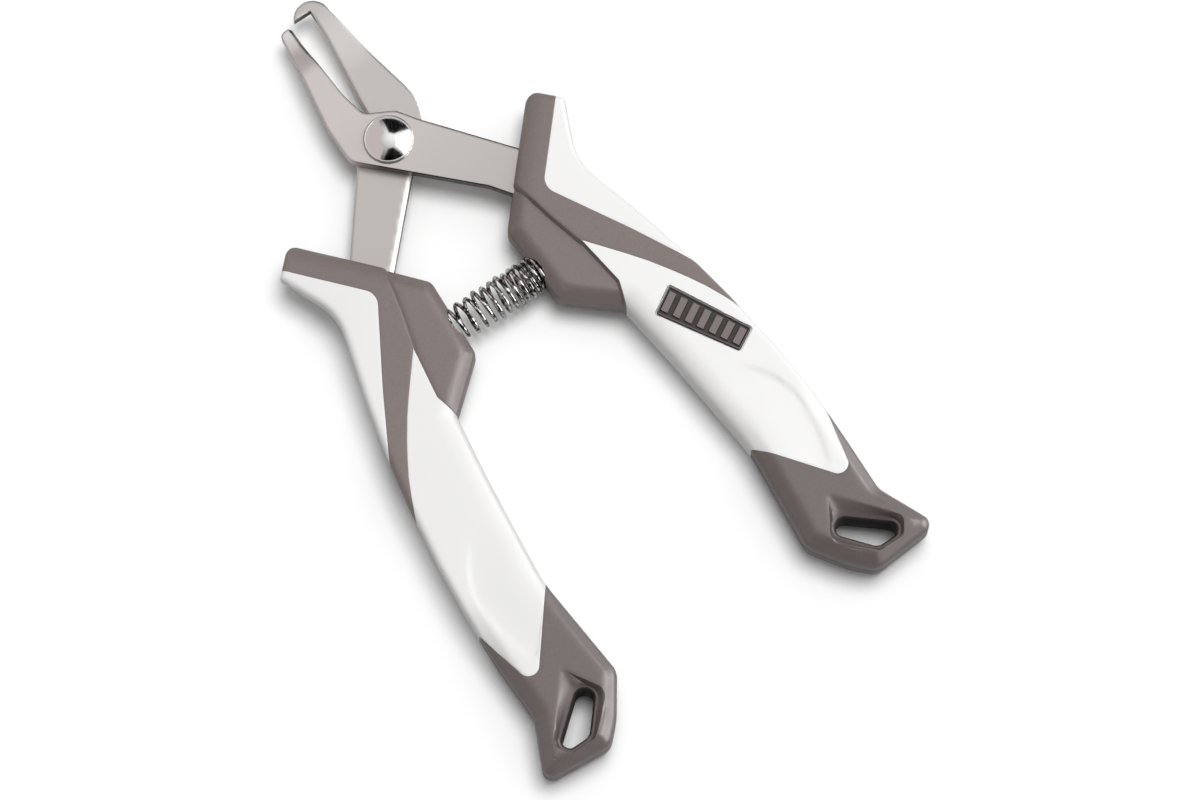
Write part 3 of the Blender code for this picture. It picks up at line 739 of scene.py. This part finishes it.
class Handle:
    """One handle's plan: its outline, its regions and the triangles that all its pieces share."""

    def __init__(self, side):
        self.side = side
        self.outline = spaced(rounded(mirrored(HANDLE, side)), OUTLINE_STEP)
        self.guard = rounded(mirrored(GUARD_REGION, side))
        self.pad = rounded(mirrored(PAD_REGION, side))
        self.end = rounded(mirrored(END_REGION, side))
        self.dish = rounded(mirrored(DISH, side))
        self.rim = rounded(mirrored(HOLE_RIM, side))
        self.hole = inset(self.rim, HOLE_DRAFT)
        self.badge = rounded(BADGE_CORNERS) if side > 0 else None
        rings = [inset(self.outline, depth) for depth in RINGS]
        regions = [self.guard, self.pad, self.end]
        beside = [inset(region, shift) for region in regions for shift in CREASE_LOOPS]
        beside += [inset(region, shift) for region in regions[:2] for shift in BORDER_LOOPS]
        around = [self.dish, self.rim, self.hole]
        around += [inset(self.dish, -RIM_LOOP), inset(self.dish, RIM_LOOP), inset(self.rim, RIM_LOOP)]
        if self.badge:
            around += [self.badge, inset(self.badge, -BADGE_LOOP), inset(self.badge, -2 * BADGE_LOOP)]
        loops = [*rings, *regions, *beside, *around]
        self.plan, self.faces = plan_of(self.outline, loops, GRID, CLEAR)
        self.depth = distance(self.plan, self.outline)
        self.inner_depth = distance(self.plan, curve(mirrored(INNER_SIDE, side)), closed=False)
        centres = self.plan[self.faces].mean(1)
        in_guard = inside(centres, self.guard)
        in_end = inside(centres, self.end)
        in_pad = in_guard & inside(centres, self.pad)
        (x0, y0), (x1, y1) = WING_LINE
        above = (x1 - x0) * (centres[:, 1] - y0) - (y1 - y0) * (side * centres[:, 0] - x0) > 0
        white = ~in_guard & ~in_end
        self.keeps = {
            "guard": in_guard & ~in_pad,
            "pad": in_pad,
            "end": in_end & ~inside(centres, self.hole),
            "wing": white & above,
            "core": white & ~above,
        }

    def section(self, front):
        """The height of the rounded face at each plan point, before any local shape."""
        outer = shoulder(self.depth, FRONT_ROUND, FRONT_WALL)
        if not front:
            near_inner = smooth(self.inner_depth - self.depth, *TAPER_BLEND)
            outer = outer + (np.interp(self.depth, *zip(*REAR_TAPER)) - outer) * near_inner
        round_edge = np.minimum(outer, shoulder(self.inner_depth, INNER_ROUND, INNER_WALL))
        facet = np.interp(self.depth, *zip(*END_SECTION))
        return round_edge + (facet - round_edge) * smooth(-self.plan[:, 1], *END_BLEND)

    def eased(self, region, drop, width):
        """How far the face falls away beside a region's boundary."""
        near = np.clip(distance(self.plan, region) / width, 0, 1)
        return drop * (1 - near) ** 2

    def panel(self):
        """A shallow hollow in the white panel, with a soft step along its outer side."""
        line = curve(mirrored(PANEL_EDGE, self.side))
        away = distance(self.plan, line, closed=False)
        inner = inside(self.plan, [*line, *mirrored(PANEL_INNER, self.side)])
        y = self.plan[:, 1]
        along = smooth(-y, *PANEL_START) * (1 - smooth(-y, *PANEL_END))
        step = smooth(np.where(inner, away, -away), *PANEL_STEP)
        return PANEL_DEPTH * step * (1 - smooth(away, *PANEL_FADE)) * along

    def dished(self, height):
        """The end's face sunk into the dish around the lanyard hole."""
        out = distance(self.plan, self.dish)
        down = distance(self.plan, self.rim)
        in_rim = inside(self.plan, self.rim)
        slope = FACE + (DISH_FLOOR - FACE) * out / (out + down)
        drop = (DISH_FLOOR - HOLE_EDGE) * np.clip(down / HOLE_DRAFT, 0, 1) ** 2
        slope = np.where(in_rim, DISH_FLOOR - drop, slope)
        slope = np.where(inside(self.plan, self.dish), slope, FACE + DISH_BANK * out)
        return lower_of(height, slope + DISH_LIFT, DISH_SOFTNESS)

    def heights(self, piece, front):
        """The height of one piece's face above the middle plane."""
        height = self.section(front)
        if piece == "pad":
            low = np.interp(self.depth, *zip(*PAD_SECTION))
            border = np.minimum(distance(self.plan, self.pad), distance(self.plan, self.guard))
            low = low - PAD_DIP * (1 - smooth(border, *PAD_DIP_BLEND))
            return low + (height - PAD_JOINT - low) * (1 - smooth(border, 0.0, PAD_BORDER))
        if front:
            towards_tip = (self.side * self.plan[:, 0] + self.plan[:, 1]) / math.sqrt(2)
            height = height - TIP_DROP * smooth(towards_tip, *TIP_BLEND)
        height = height - self.eased(self.guard, *GROOVE) - self.eased(self.end, *GROOVE)
        if piece == "guard":
            height = height - self.eased(self.pad, *STRAP_EDGE)
        if piece == "end":
            return self.dished(height)
        if piece == "core":
            height = height - self.panel()
            if self.badge and front:
                around = depth_in(self.plan, self.badge)
                height = np.where(around > -BADGE_CLEAR, BADGE_FLOOR, height)
        return height


def wall_rows():
    """Shares of the height and inward shifts down the outer wall, with the mould's seam halfway."""
    beside = (SEAM_ABOVE, SEAM_HALF)
    above = [(0.5 + share, 0.0) for share in beside]
    below = [(0.5 - share, 0.0) for share in reversed(beside)]
    return [*above, (0.5, SEAM_DEPTH), *below]


def handle_pieces(side, body, tag, finishes):
    """One handle's five pieces. The hole's walls get a much darker rubber, which is painted shade."""
    handle = Handle(side)
    wall = (handle.outline, wall_rows())
    ends = [finishes["end_rubber"], finishes["hole_rubber_painted_shade"]]
    nodes = {
        "core": (f"{tag}_front_shell", f"{tag}_rear_shell"),
        "guard": (f"{tag}_guard_overmould",),
        "end": (f"{tag}_end_overmould",),
    }
    made = {}
    for piece, keep in handle.keeps.items():
        top = handle.heights(piece, True)
        bottom = -handle.heights(piece, False)
        shape = piece_of(handle.plan, handle.faces, keep, top, bottom, wall)
        slot = "white_plastic" if piece in ("core", "wing") else "grey_rubber"
        materials = ends if piece == "end" else [finishes[slot]]
        made[piece] = add_piece(f"{tag}_{piece}", shape, body, materials, nodes.get(piece, ()))
    faces = made["end"].data.polygons
    centres = [(f.center.x / MM, f.center.y / MM) for f in faces]
    # painted shade: the faces down the hole's walls take the darker rubber
    walls = inside(centres, inset(handle.rim, RIM_LOOP)) & [abs(f.normal.z) < HOLE_WALL for f in faces]
    faces.foreach_set("material_index", walls.astype(np.int32))
    bore_socket(made["pad"], side)


def bore_socket(pad, side):
    """The blind round hole in the pad that the spring's end sits in."""
    sides = SOCKET_SIDES
    ring = circle(SPRING_Y - SPRING_SAG / 2, 0, SOCKET_RADIUS, sides)
    corners = [(x, y, z) for x in (0.0, side * SOCKET_END) for y, z in ring]
    faces = [(i, (i + 1) % sides, sides + (i + 1) % sides, sides + i) for i in range(sides)]
    faces += [tuple(range(sides)), tuple(range(2 * sides - 1, sides - 1, -1))]
    cutter = add_piece(f"{pad.name}_cutter", (corners, faces), None, [])
    cut = pad.modifiers.new("socket", "BOOLEAN")
    cut.object = cutter
    cut.solver = "EXACT"
    bpy.context.view_layer.update()
    shown = pad.evaluated_get(bpy.context.evaluated_depsgraph_get())
    bored = bpy.data.meshes.new_from_object(shown)
    pad.modifiers.clear()
    pad.data = bored
    pad.data.name = pad.name
    bored.set_sharp_from_angle(angle=SHARP)
    bpy.data.objects.remove(cutter)


# Badge


def badge(finish):
    """A ribbed inlay with a raised border, let into the right handle's front face."""
    outline = rounded(BADGE_CORNERS)
    start, across, far_across, far = (Vector(corner[:2]) for corner in BADGE_CORNERS)
    ribs = []
    for i in range(RIB_COUNT):
        share = (i + 0.5) / RIB_COUNT
        near_side, far_side = start.lerp(far, share), across.lerp(far_across, share)
        one, two = near_side.lerp(far_side, RIB_MARGIN), far_side.lerp(near_side, RIB_MARGIN)
        width = (far - start).normalized() * RIB_HALF_WIDTH
        corners = (one - width, two - width, two + width, one + width)
        ribs.append(anticlockwise([tuple(p) for p in corners]))
    loops = [inset(outline, depth) for depth in (BORDER_WIDTH, *BORDER_TOP)]
    for rib in ribs:
        loops += [spaced(rib, BADGE_STEP), spaced(inset(rib, RIB_SLOPE), BADGE_STEP)]
    plan, faces = plan_of(spaced(outline, BADGE_STEP), loops, BADGE_GRID, BADGE_MESH_CLEAR)
    rib_rise = np.max([smooth(depth_in(plan, rib), 0, RIB_SLOPE) for rib in ribs], axis=0)
    depth = distance(plan, outline)
    edge_rise = smooth(depth, *BORDER_RISE) * (1 - smooth(depth, BORDER_TOP[1], BORDER_WIDTH))
    rise = np.maximum(rib_rise, BORDER_SHARE * edge_rise)
    top = BADGE_BASE + (BADGE_TOP - BADGE_BASE) * rise
    bottom = np.full(len(plan), BADGE_FLOOR)
    shape = piece_of(plan, faces, np.ones(len(faces), bool), top, bottom)
    add_piece("badge_inlay_ribbed", shape, "nose_side", [finish], ["badge_inlay"])


# Plates


def crank(y, ease):
    """How far a jaw is set towards the other plate at this y, from 0 to CRANK_DROP."""
    return CRANK_DROP * smooth(y, CRANK_START - ease, CRANK_END + ease)


def hook_outline():
    """The hook jaw's round end and tooth, then the rest of the plate."""
    tip, root = HOOK_TOOTH
    end = math.atan2(tip[1] - HOOK_TIP_CENTRE[1], tip[0] - HOOK_TIP_CENTRE[0]) - HOOK_TIP_SHORT
    round_end = arc(HOOK_TIP_CENTRE, HOOK_TIP_RADIUS, HOOK_TIP_START, end)
    rest = curve([(*root, 0), *HOOK_PLATE, (*round_end[0], 0)])
    return anticlockwise([*round_end, tip, *rest[:-1]])


def plate_piece(name, outline, layer, ground, body, finishes, node, dark_below):
    """A stamped plate with broken edges. Faces whose normals rise less than dark_below are dark: they
    take the edge steel with its painted shade.
    """
    outline = spaced(outline, PLATE_STEP)
    rings = [inset(outline, depth) for depth in PLATE_RINGS]
    bore = circle(0, 0, BORE_RADIUS, BORE_SIDES)
    plan, faces = plan_of(outline, [*rings, bore], PLATE_GRID, PLATE_CLEAR)
    keep = ~inside(plan[faces].mean(1), bore)
    depth = distance(plan, outline)
    broken = EDGE_BREAK * np.clip(1 - depth / EDGE_WIDTH, 0, 1) ** EDGE_POWER
    shift = crank(plan[:, 1], NOSE_EASE if layer > 0 else HOOK_EASE)
    front, back = (PLATE_OUTER, PLATE_INNER) if layer > 0 else (-PLATE_INNER, -PLATE_OUTER)
    top = front - layer * shift - broken - ground(plan)
    bottom = back - layer * shift + broken
    shape = piece_of(plan, faces, keep, top, bottom)
    piece = add_piece(name, shape, body, finishes, [node], PLATE_SHARP)
    walls = np.array([abs(p.normal.z) < dark_below for p in piece.data.polygons], np.int32)
    piece.data.polygons.foreach_set("material_index", walls)


def nose_ground(plan):
    """The nose jaw's tip is ground down to a point and bevelled along its inner edge."""
    y = plan[:, 1]
    inner_edge = curve([NOSE_PLATE[-2], NOSE_PLATE[-1], NOSE_PLATE[0]])
    away = distance(plan, inner_edge, closed=False)
    slope, width = NOSE_BEVEL
    bevel = slope * np.clip(width - away, 0, 1) * smooth(y, *NOSE_BEVEL_BLEND)
    return NOSE_POINT_SLOPE * np.clip(y - NOSE_POINT, 0, NOSE_POINT_REACH) + bevel


def hook_ground(plan):
    """The hook tang's edge towards the other handle is bevelled."""
    away = distance(plan, curve(HOOK_PLATE[9:14]), closed=False)
    slope, width = HOOK_BEVEL
    return slope * np.clip(width - away, 0, 1)


# Pivot


def pivot_head(finish):
    """The polished dome with its rim, on the post through both plates."""
    sphere = (DOME_RADIUS**2 + DOME_RISE**2) / (2 * DOME_RISE)
    rim = HEAD_BASE + RIM_RISE
    centre = rim + DOME_RISE - sphere
    lean = math.asin(DOME_RADIUS / sphere)
    leans = [lean * i / DOME_RINGS for i in range(DOME_RINGS, 0, -1)]
    dome = [(sphere * math.sin(a), centre + sphere * math.cos(a)) for a in leans]
    shank = [(0, -HEAD_BASE), (POST_RADIUS, -HEAD_BASE), (POST_RADIUS, HEAD_BASE), (3.6, HEAD_BASE)]
    ring = [
        (HEAD_RADIUS, HEAD_BASE + 0.1), (HEAD_RADIUS, rim - 0.08), (3.65, rim - 0.01), (3.58, rim),
        (3.53, rim - 0.04),
    ]
    shape = turned([*shank, *ring, *dome, (0, rim + DOME_RISE)])
    add_piece("pivot_dome", shape, "hook_side", [finish], ["pivot_post"])


def pivot_rear_cap(finish):
    """The closed rear head, with a fine turned groove in its flat face."""
    near, end = -HEAD_BASE, -MIDDLE
    edge = [(HEAD_RADIUS, end + 0.4), (3.62, end + 0.2), (3.46, end + 0.06), (3.25, end)]
    groove = [(2.4, end), (2.3, end + 0.08), (2.2, end)]
    shape = turned([(0, near), (HEAD_RADIUS, near), *edge, *groove, (0, end)])
    add_piece("pivot_rear_cap", shape, "hook_side", [finish], ["pivot_cap"])


def washer(name, radius, low, high, finish, node):
    """A washer with rounded edges on the post."""
    edge = min(WASHER_EDGE, (high - low) / 3)
    profile = [
        (BORE_RADIUS, low), (radius - edge, low), (radius, low + edge), (radius, high - edge),
        (radius - edge, high), (BORE_RADIUS, high),
    ]
    add_piece(name, turned(profile), "hook_side", [finish], [node])


# Spring


def coil_x(turn):
    """The wire's place along the spring, close-wound in the sockets and opening towards the left."""
    open_turns = SPRING_TURNS - 2 * CLOSE_TURNS
    pitch = (2 * SPRING_HALF - 2 * CLOSE_TURNS * CLOSE_PITCH) / open_turns
    middle = min(max(turn - CLOSE_TURNS, 0), open_turns)
    share = middle / open_turns
    middle += PITCH_CHANGE * open_turns * share * (1 - share)
    return -SPRING_HALF + CLOSE_PITCH * (turn - open_turns * share) + pitch * middle


def coil_middle(turn):
    """The y of the coil's middle and its radius: the spring swells and sags between the handles."""
    bow = math.sin(math.pi * turn / SPRING_TURNS)
    return SPRING_Y - SPRING_SAG * bow, SPRING_RADIUS + SPRING_SWELL * bow


def coil_point(turn):
    """The wire's centre after a number of turns, a little out of true as hand-fitted coils are."""
    angle = 2 * math.pi * turn
    y, radius = coil_middle(turn)
    x = coil_x(turn) + SWAY * math.sin(SWAY_RATES[0] * turn) * math.sin(angle)
    y += SWAY * math.sin(SWAY_RATES[1] * turn) + radius * math.cos(angle)
    return Vector((x, y, radius * math.sin(angle)))


def return_spring(finish):
    """The coil between the handles."""
    count = SPRING_TURNS * COIL_STEPS
    corners = []
    for i in range(count + 1):
        turn = i / COIL_STEPS
        centre = coil_point(turn)
        outward = Vector((0, centre.y - coil_middle(turn)[0], centre.z)).normalized()
        along = (coil_point(turn + TURN_STEP) - coil_point(turn - TURN_STEP)).normalized()
        across = along.cross(outward)
        for j in range(WIRE_SIDES):
            angle = 2 * math.pi * j / WIRE_SIDES
            rim = math.cos(angle) * outward + math.sin(angle) * across
            corners.append(tuple(centre + WIRE_RADIUS * rim))
    faces = []
    for i in range(count):
        for j in range(WIRE_SIDES):
            a, b = i * WIRE_SIDES + j, i * WIRE_SIDES + (j + 1) % WIRE_SIDES
            faces.append((a, b, b + WIRE_SIDES, a + WIRE_SIDES))
    last = count * WIRE_SIDES
    faces += [tuple(range(WIRE_SIDES)), tuple(range(last + WIRE_SIDES - 1, last - 1, -1))]
    shape = (corners, faces)
    spring = add_piece("coil_spring", shape, None, [finish], ["return_spring"])
    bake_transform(spring)


# Studio


def emitter(name, colour, strength):
    """A plain glowing material for a reflection card."""
    material = bpy.data.materials.new(name)
    material.use_nodes = True
    tree = material.node_tree
    tree.nodes.clear()
    glow = tree.nodes.new("ShaderNodeEmission")
    glow.inputs["Color"].default_value = (*colour, 1.0)
    glow.inputs["Strength"].default_value = strength
    output = tree.nodes.new("ShaderNodeOutputMaterial")
    tree.links.new(glow.outputs["Emission"], output.inputs["Surface"])
    return material


def sheet(name, corners, faces, material):
    """A sheet of the stage, in metres."""
    mesh = bpy.data.meshes.new(name)
    mesh.from_pydata(corners, [], faces)
    mesh.materials.append(material)
    obj = bpy.data.objects.new(name, mesh)
    bpy.context.scene.collection.objects.link(obj)
    return obj


def floor():
    """A white floor that sends less light back to the object than to the camera."""
    surface = Surface("floor_white", (FLOOR_SEEN, FLOOR_SEEN, FLOOR_SEEN), 0.8)
    seen = surface.nodes.new("ShaderNodeLightPath").outputs["Is Camera Ray"]
    surface.into("Base Color", surface.ramp(seen, [(0.0, (FLOOR_BOUNCE,)), (1.0, (FLOOR_SEEN,))]))
    surface.shader.inputs["Specular IOR Level"].default_value = 0.1
    low = CAD_BOX[0].z - FLOOR_GAP
    size = FLOOR_SIZE
    corners = [(-size, -size, low), (size, -size, low), (size, size, low), (-size, size, low)]
    sheet("floor", corners, [(0, 1, 2, 3)], surface.material)


def card(name, azimuth, half_width, low, high, taper, colour, strength):
    """A curved card that only shows in reflections. Its angles are in degrees, as seen from the pivot.

    It spans half_width to each side of the azimuth, narrowing to that times taper at its upper edge.
    """
    columns = CARD_COLUMNS
    corners = []
    for elevation, share in ((low, 1.0), (high, taper)):
        for i in range(columns + 1):
            turn = math.radians(azimuth + half_width * share * (2 * i / columns - 1))
            rise = math.tan(math.radians(elevation))
            corners.append([CARD_REACH * v for v in (math.cos(turn), math.sin(turn), rise)])
    above = columns + 1
    faces = [(i, i + 1, i + 1 + above, i + above) for i in range(columns)]
    obj = sheet(name, corners, faces, emitter(name, colour, strength))
    obj.visible_camera = False
    obj.visible_diffuse = False
    obj.visible_shadow = False
    obj.visible_transmission = False


def sky():
    """A studio dome, brightest round the key's direction and dim behind it."""
    world = bpy.data.worlds.new("studio")
    bpy.context.scene.world = world
    world.use_nodes = True
    nodes, links = world.node_tree.nodes, world.node_tree.links
    facing = nodes.new("ShaderNodeVectorMath")
    facing.operation = "DOT_PRODUCT"
    facing.inputs[1].default_value = Vector(SKY_DIRECTION).normalized()
    links.new(nodes.new("ShaderNodeTexCoord").outputs["Generated"], facing.inputs[0])
    glow = nodes.new("ShaderNodeFloatCurve")
    points = glow.mapping.curves[0].points
    for place, level in zip(points, (SKY_LEVELS[0], SKY_LEVELS[-1])):
        place.location = level
    for level in SKY_LEVELS[1:-1]:
        points.new(*level)
    glow.mapping.update()
    links.new(facing.outputs["Value"], glow.inputs["Value"])
    links.new(glow.outputs["Value"], nodes["Background"].inputs["Strength"])
    nodes["Background"].inputs["Color"].default_value = (1.0, 1.0, 1.0, 1.0)


def studio():
    floor()
    sky()
    for name, settings in CARDS.items():
        card(name, *settings)
    lamp = bpy.data.lights.new("key", "SUN")
    lamp.energy = KEY_STRENGTH
    lamp.angle = KEY_ANGLE
    key = bpy.data.objects.new("key", lamp)
    key.rotation_euler = Vector(KEY_DIRECTION).to_track_quat("Z", "Y").to_euler()
    key.visible_glossy = False
    bpy.context.scene.collection.objects.link(key)
    bpy.context.scene.view_settings.view_transform = "Standard"


def camera():
    lens = bpy.data.cameras.new("camera")
    lens.lens = CAMERA_LENS
    lens.sensor_width = 36.0
    lens.clip_end = 10.0
    view = bpy.data.objects.new("camera", lens)
    view.rotation_euler = (CAMERA_TILT, 0, CAMERA_TURN)
    back = view.rotation_euler.to_matrix() @ Vector((0, 0, 1))
    x, y, z = CAMERA_TARGET
    view.location = (Vector((x, y, z + MIDDLE)) + back * CAMERA_DISTANCE) * MM
    bpy.context.scene.collection.objects.link(view)
    bpy.context.scene.camera = view


def build():
    finishes = {
        make.__name__: make()
        for make in (
            white_plastic, grey_rubber, end_rubber, hole_rubber_painted_shade, nose_steel, hook_steel, edge_steel_painted_shade,
            polished_steel, washer_steel, washer_bronze, spring_steel, badge_grey,
        )
    }
    handle_pieces(1, "nose_side", "right", finishes)
    handle_pieces(-1, "hook_side", "left", finishes)
    badge(finishes["badge_grey"])
    nose, hook = rounded(NOSE_PLATE), hook_outline()
    steels = [finishes["nose_steel"], finishes["edge_steel_painted_shade"]]
    plate_piece("nose_jaw", nose, 1, nose_ground, "nose_side", steels, "nose_jaw_plate", NOSE_DARK)
    steels = [finishes["hook_steel"], finishes["edge_steel_painted_shade"]]
    plate_piece("hook_jaw", hook, -1, hook_ground, "hook_side", steels, "hook_jaw_plate", HOOK_DARK)
    pivot_head(finishes["polished_steel"])
    pivot_rear_cap(finishes["polished_steel"])
    steel, bronze = finishes["washer_steel"], finishes["washer_bronze"]
    near, far = WASHER_INNER, WASHER_OUTER
    washer("washer_front", WASHER_RADIUS, near, far, steel, "front_washer")
    washer("washer_rear", WASHER_RADIUS, -far, -near, steel, "rear_washer")
    washer("washer_shim", SHIM_RADIUS, -SHIM_HALF, SHIM_HALF, bronze, "shim_washer")
    return_spring(finishes["spring_steel"])
    camera()
    studio()


build()
